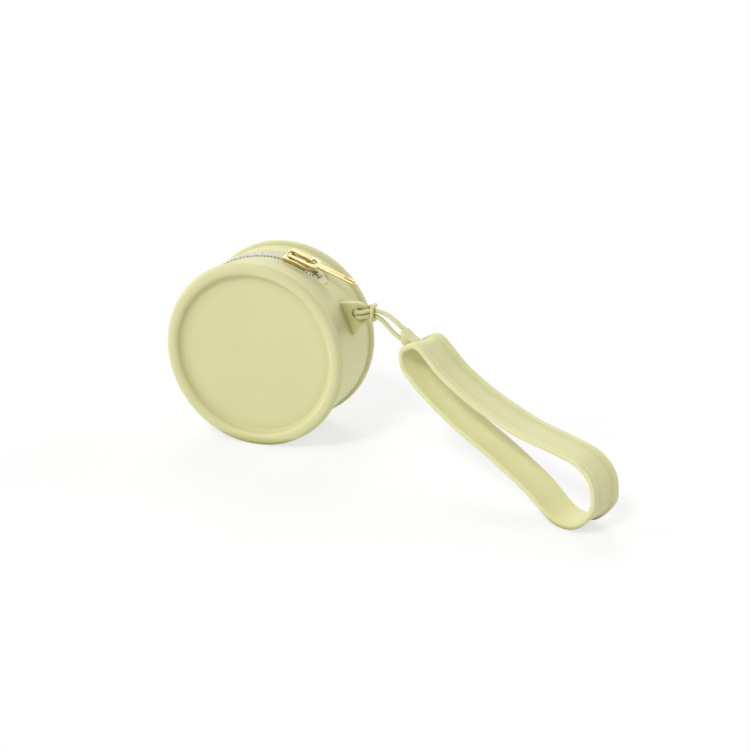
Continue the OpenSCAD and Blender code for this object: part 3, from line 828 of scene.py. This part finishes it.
# %% Path and section of the band
LOOP_L, LOOP_H, BAND_HALF, EDGE_T, WEB_T, BEAD_W = 98, 23.6, 7.1, 2.3, 1.5, 2.4
BAND_TWIST, BAND_SLOPE, BAND_HEADING = math.radians(6), math.radians(22.2), math.radians(-25)
BAND_PLACE = (Matrix.Translation((66, -12, 9.175)) @ Matrix.Rotation(BAND_HEADING, 4, "Z")
              @ Matrix.Rotation(BAND_SLOPE, 4, "Y"))
loop_shares = [(0, -0.04), (0.015, 0.22), (0.05, 0.46), (0.12, 0.36), (0.19, 0.23),
               (0.27, 0.18), (0.36, 0.18), (0.45, 0.25), (0.58, 0.4), (0.66, 0.57),
               (0.75, 0.79), (0.86, 1.03), (0.92, 1), (0.96, 0.84), (0.99, 0.47), (1, 0.1),
               (0.975, -0.56), (0.935, -0.88), (0.885, -1), (0.835, -0.96), (0.78, -0.86),
               (0.69, -0.78), (0.5, -0.74), (0.4, -0.77), (0.3, -0.76), (0.2, -0.7),
               (0.1, -0.58), (0.03, -0.4)]
loop = [Vector((x * LOOP_L, z * LOOP_H / 2)) for x, z in loop_shares]


count = len(loop)
path = [curve_point(loop[k - 1], loop[k], loop[(k + 1) % count], loop[(k + 2) % count], n / 8)
        for k in range(count) for n in range(8)]
section = rounded([(-BAND_HALF, 0, 0.6), (-BAND_HALF, EDGE_T, 0.75),
                   (BEAD_W - BAND_HALF, EDGE_T, 0.6), (BEAD_W + 0.45 - BAND_HALF, WEB_T, 0.5),
                   (BAND_HALF - BEAD_W - 0.45, WEB_T, 0.5), (BAND_HALF - BEAD_W, EDGE_T, 0.6),
                   (BAND_HALF, EDGE_T, 0.75), (BAND_HALF, 0, 0.6)], 4)
print("path", len(path), "points, section", len(section))


# %% Sweep the section round the path
def sweep(name):
    first = ring(name, [Vector() for p in section])
    stations = []
    for k in range(len(path)):
        way = (path[(k + 1) % len(path)] - path[k - 1]).normalized()
        out = Vector((-way.y, way.x))
        stations.append([Vector((path[k].x + out.x * q.y, q.x, path[k].y + out.y * q.y))
                         for q in section])
    for vertex, point in zip(first.data.vertices, stations[0]):
        vertex.co = point
    edit(first)
    bpy.ops.mesh.select_all(action="SELECT")
    for points in stations[1:]:
        bpy.ops.mesh.extrude_region_move()
        mesh = bmesh.from_edit_mesh(first.data)
        mesh.verts.ensure_lookup_table()
        for vertex, point in zip(mesh.verts[-len(points):], points):
            vertex.co = point
    choose(first, "EDGE", lambda middle, edge: edge.is_boundary)
    bpy.ops.mesh.bridge_edge_loops()
    bpy.ops.mesh.select_all(action="SELECT")
    bpy.ops.mesh.normals_make_consistent(inside=False)
    close_edit()
    return first


band = sweep("band_skin")
for vertex in band.data.vertices:
    share = min(1, max(0, vertex.co.x / LOOP_L))
    vertex.co.z += vertex.co.y * math.tan(BAND_TWIST * (1 - share ** 3))
print("band", len(band.data.polygons), "faces, box", [round(v, 1) for v in band.dimensions])

# %% Block that holds the cord
NUB_L, NUB_H, NUB_HALF, NUB_X, NUB_Z, VOXEL = 7.2, 6.2, 2.3, -1.15, -1.3, 0.34
nub_shares = [(1, 0.87, 0.5), (0.66, 0, 0.5), (0, 0, 0), (0, 0.5, 0), (-0.3, 0.7, 0),
              (-0.18, 0.8, 0), (0.3, 0.77, 0.8)]
nub = plate("nub", [rounded([(NUB_X - NUB_L * x, NUB_Z + NUB_H * z, r)
                             for x, z, r in nub_shares])], NUB_HALF, 0.5)
place(nub, Matrix.Rotation(math.pi / 2, 4, "X"), Matrix.Rotation(BAND_TWIST, 4, "X"))
band = join("band_skin", band, nub)
melt = band.modifiers.new("Melt", "REMESH")
melt.mode = "VOXEL"
melt.voxel_size = VOXEL
ease = band.modifiers.new("Ease", "SMOOTH")
ease.factor = 0.5
ease.iterations = 5
apply_all(band)
only(band)
bpy.ops.object.shade_smooth()
place(band, BAND_PLACE, TO_FRAME)
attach(band, "strap")
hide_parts("wrist_band")
print("band", len(band.data.polygons), "faces after the remesh")

# %% [markdown]
# ## Shader tools
#
# A finish is a small sum of patterns: noise for colour, finer noise for grain. One class wraps
# a socket so that such sums are written as plain arithmetic, and one method adds any node.


# %% Shader tools
class Wire:
    """A socket of a material that adds its own Math nodes."""

    def __init__(self, paint, socket):
        self.paint, self.socket = paint, socket

    def _math(self, operation, a, b):
        return self.paint.node("ShaderNodeMath", {"operation": operation}, {0: a, 1: b})

    def __add__(self, other):
        return self._math("ADD", self, other)

    __radd__ = __add__

    def __mul__(self, other):
        return self._math("MULTIPLY", self, other)

    def __pow__(self, power):
        return self._math("POWER", self, power)


class Paint:
    """A material and its nodes."""

    def __init__(self, name):
        self.material = bpy.data.materials.new(name)
        self.material.use_nodes = True
        self.tree = self.material.node_tree
        self.tree.nodes.clear()
        self.output = self.tree.nodes.new("ShaderNodeOutputMaterial")
        self.place = self.node("ShaderNodeTexCoord", output="Object")

    def node(self, kind, settings=None, inputs=None, output=0):
        made = self.tree.nodes.new(kind)
        for key, value in (settings or {}).items():
            setattr(made, key, value)
        for key, value in (inputs or {}).items():
            if isinstance(value, Wire):
                self.tree.links.new(value.socket, made.inputs[key])
            else:
                made.inputs[key].default_value = value
        return Wire(self, made.outputs[output])

    def noise(self, scale, detail=2.0, rough=0.5):
        return self.node("ShaderNodeTexNoise", {}, {"Vector": self.place, "Scale": scale,
                                                    "Detail": detail, "Roughness": rough})

    def mix(self, share, a, b):
        return self.node("ShaderNodeMix", {"data_type": "RGBA"},
                         {"Factor": share, 6: a, 7: b}, 2)

    def painted_shade(self, reach, power):
        """1 on open faces and less in hollows: the mask for painted shade, which darkens colour
        there.
        """
        open_share = self.node("ShaderNodeAmbientOcclusion", {"samples": 8},
                               {"Distance": reach}, "AO")
        return open_share ** power

    def finish(self, shader):
        self.tree.links.new(shader.socket, self.output.inputs["Surface"])
        return self.material


def linear(r, g, b):
    """A colour as Blender counts it, from the 0 to 255 of a paint program."""
    return tuple((c / 255 / 12.92 if c < 11 else ((c / 255 + 0.055) / 1.055) ** 2.4)
                 for c in (r, g, b)) + (1.0,)


def dress(obj, material):
    obj.data.materials.clear()
    obj.data.materials.append(material)


# %% [markdown]
# ## Silicone
#
# The silicone is pale yellow, matte, and a little see-through, so light softens inside it.
# Its colour varies slightly from place to place, and painted shade darkens it in hollows and
# close under other parts. A fine grain from the mould breaks the gloss, and slow waves keep the
# flat faces from looking like glass.

# %% Silicone
def silicone():
    paint = Paint("silicone")
    cloud = paint.noise(45.0, 3.0)
    grain = paint.noise(2600.0, 2.0)
    wave = paint.noise(60.0, 1.0)
    # Painted shade: an occlusion mask turns the colour dark olive in hollows and close under
    # other parts.
    colour = paint.mix(paint.painted_shade(0.005, 2.0), linear(172, 165, 88),
                       paint.mix(cloud, linear(215, 213, 163), linear(220, 218, 169)))
    height = grain * 0.25 + wave * 1.0
    bump = paint.node("ShaderNodeBump", {}, {"Strength": 0.12, "Distance": 0.0004,
                                             "Height": height})
    shader = paint.node("ShaderNodeBsdfPrincipled", {}, {
        "Base Color": colour, "Roughness": 0.52 + grain * 0.12, "Normal": bump,
        "Subsurface Weight": 0.3, "Subsurface Radius": (1.0, 0.9, 0.5),
        "Subsurface Scale": 0.0009, "Specular IOR Level": 0.3, "Sheen Weight": 0.04})
    return paint.finish(shader)


skin_material = silicone()
for obj in (drum, band, cord):
    dress(obj, skin_material)

# %% [markdown]
# ## Tape, nylon and gold
#
# The tape is woven: its threads cross at right angles, so two sets of waves round and across
# the drum are multiplied. The nylon is clear and milky, with a soft shine. The gold is a thin
# plating over a casting, polished but not perfect, with faint scratches, and painted shade
# darkens its hollows.

# %% Woven tape
def woven():
    paint = Paint("woven_tape")
    split = paint.node("ShaderNodeSeparateXYZ", {}, {0: paint.place}, "X").socket.node
    x, y, z = (Wire(paint, split.outputs[k]) for k in range(3))
    turn = paint.node("ShaderNodeMath", {"operation": "ARCTAN2"}, {0: x, 1: z})
    along = paint.node("ShaderNodeMath", {"operation": "SINE"}, {0: turn * 620.0})
    across = paint.node("ShaderNodeMath", {"operation": "SINE"}, {0: y * 15000.0})
    weave = along * across * 0.5 + 0.5
    colour = paint.mix(weave, linear(216, 216, 168), linear(229, 229, 186))
    bump = paint.node("ShaderNodeBump", {}, {"Strength": 0.5, "Distance": 0.0001,
                                             "Height": weave})
    shader = paint.node("ShaderNodeBsdfPrincipled", {}, {
        "Base Color": colour, "Roughness": 0.85, "Normal": bump, "Sheen Weight": 0.3})
    return paint.finish(shader)


# %% Nylon
def nylon(name, shade, pale):
    paint = Paint(name)
    cloud = paint.noise(900.0, 2.0)
    colour = paint.mix(cloud, shade, pale)
    bump = paint.node("ShaderNodeBump", {}, {"Strength": 0.1, "Distance": 0.0001,
                                             "Height": paint.noise(5000.0)})
    shader = paint.node("ShaderNodeBsdfPrincipled", {}, {
        "Base Color": colour, "Roughness": 0.45 + cloud * 0.15, "Normal": bump,
        "Specular IOR Level": 0.25, "Subsurface Weight": 0.2, "Subsurface Scale": 0.0005})
    return paint.finish(shader)


# %% Gold
def gold():
    paint = Paint("gold_plating")
    cloud = paint.noise(300.0, 3.0)
    brush = paint.noise(9000.0, 2.0)
    # Painted shade: an occlusion mask turns the plating dark olive gold in its hollows.
    colour = paint.mix(paint.painted_shade(0.0025, 1.3), linear(140, 122, 60),
                       paint.mix(cloud, linear(220, 199, 140), linear(232, 214, 162)))
    bump = paint.node("ShaderNodeBump", {}, {"Strength": 0.06, "Distance": 0.0001,
                                             "Height": brush})
    shader = paint.node("ShaderNodeBsdfPrincipled", {}, {
        "Base Color": colour, "Metallic": 1.0, "Roughness": 0.24 + cloud * 0.14,
        "Normal": bump})
    return paint.finish(shader)


cloth = woven()
filament = nylon("nylon_filament", linear(222, 227, 212), linear(230, 233, 219))
thread = nylon("nylon_thread", linear(220, 225, 204), linear(228, 231, 211))
moulded = nylon("nylon_moulded", linear(214, 214, 166), linear(222, 222, 176))
plating = gold()
for name in ("front", "back"):
    dress(tapes[name], cloth)
    dress(coils[name], filament)
    dress(cores[name], thread)
    dress(threads[name], thread)
dress(top_stops, moulded)
for obj in (slider, pull, bottom_stop):
    dress(obj, plating)
print("materials", len(bpy.data.materials))

# %% [markdown]
# ## Floor and light
#
# The pouch stands on a plain pale table. A key lamp shines from the front and above, which
# puts the pull's shadow on the wall behind it, and softer ones come from the left, the back
# and the far edge. The camera sees the world as plain white, while the world that lights the
# pouch is dimmer, so that the pale silicone keeps its colour.

# %% Rays that see the studio
def seen_share(tree, share):
    """Share for rays that show the background: from the camera, a mirror or clear stuff."""
    rays = tree.nodes.new("ShaderNodeLightPath")
    total = rays.outputs["Is Camera Ray"]
    for name in ("Is Glossy Ray", "Is Transmission Ray"):
        most = tree.nodes.new("ShaderNodeMath")
        most.operation = "MAXIMUM"
        tree.links.new(total, most.inputs[0])
        tree.links.new(rays.outputs[name], most.inputs[1])
        total = most.outputs[0]
    scaled = tree.nodes.new("ShaderNodeMath")
    scaled.operation = "MULTIPLY"
    scaled.inputs[1].default_value = share
    tree.links.new(total, scaled.inputs[0])
    return scaled.outputs[0]


# %% Floor
only()
bpy.ops.mesh.primitive_plane_add(size=6, location=(0, 0, TABLE_Z * MM - 0.0001))
floor = bpy.context.object
floor.name = "floor"
paint = Paint("floor_paper")
fibre = paint.mix(paint.noise(400.0, 3.0), (0.88, 0.88, 0.88, 1), (0.92, 0.92, 0.92, 1))
paper = paint.node("ShaderNodeBsdfDiffuse", {}, {"Color": fibre})
glow = paint.node("ShaderNodeEmission", {}, {"Color": (1, 1, 1, 1), "Strength": 1.04})
dress(floor, paint.finish(paint.node("ShaderNodeMixShader", {}, {
    0: Wire(paint, seen_share(paint.tree, 0.65)), 1: paper, 2: glow})))

# %% World
world = bpy.data.worlds.new("studio")
bpy.context.scene.world = world
world.use_nodes = True
tree = world.node_tree
tree.nodes.clear()
seen, lit = tree.nodes.new("ShaderNodeBackground"), tree.nodes.new("ShaderNodeBackground")
seen.inputs["Color"].default_value = lit.inputs["Color"].default_value = (1, 1, 1, 1)
lit.inputs["Strength"].default_value = 0.34
both = tree.nodes.new("ShaderNodeMixShader")
tree.links.new(seen_share(tree, 1.0), both.inputs[0])
tree.links.new(lit.outputs[0], both.inputs[1])
tree.links.new(seen.outputs[0], both.inputs[2])
tree.links.new(both.outputs[0], tree.nodes.new("ShaderNodeOutputWorld").inputs["Surface"])


# %% Lamps
def softbox(name, towards, power, width):
    """A far lamp that shines along a direction and looks some degrees wide from the pouch."""
    only()
    bpy.ops.object.light_add(type="SUN", location=-0.8 * Vector(towards).normalized())
    obj = bpy.context.object
    obj.name = name
    obj.data.energy = power
    obj.data.angle = math.radians(width)
    obj.rotation_euler = Vector(towards).to_track_quat("-Z", "Y").to_euler()


softbox("key", (0.15, 0.65, -0.75), 1.35, 15)
softbox("left", (0.9, 0.35, -0.25), 1.1, 40)
softbox("top_back", (0.3, -0.6, -0.7), 1.0, 40)
softbox("edge", (-0.7, -0.7, -0.3), 0.9, 40)
bpy.context.scene.view_settings.view_transform = "Standard"
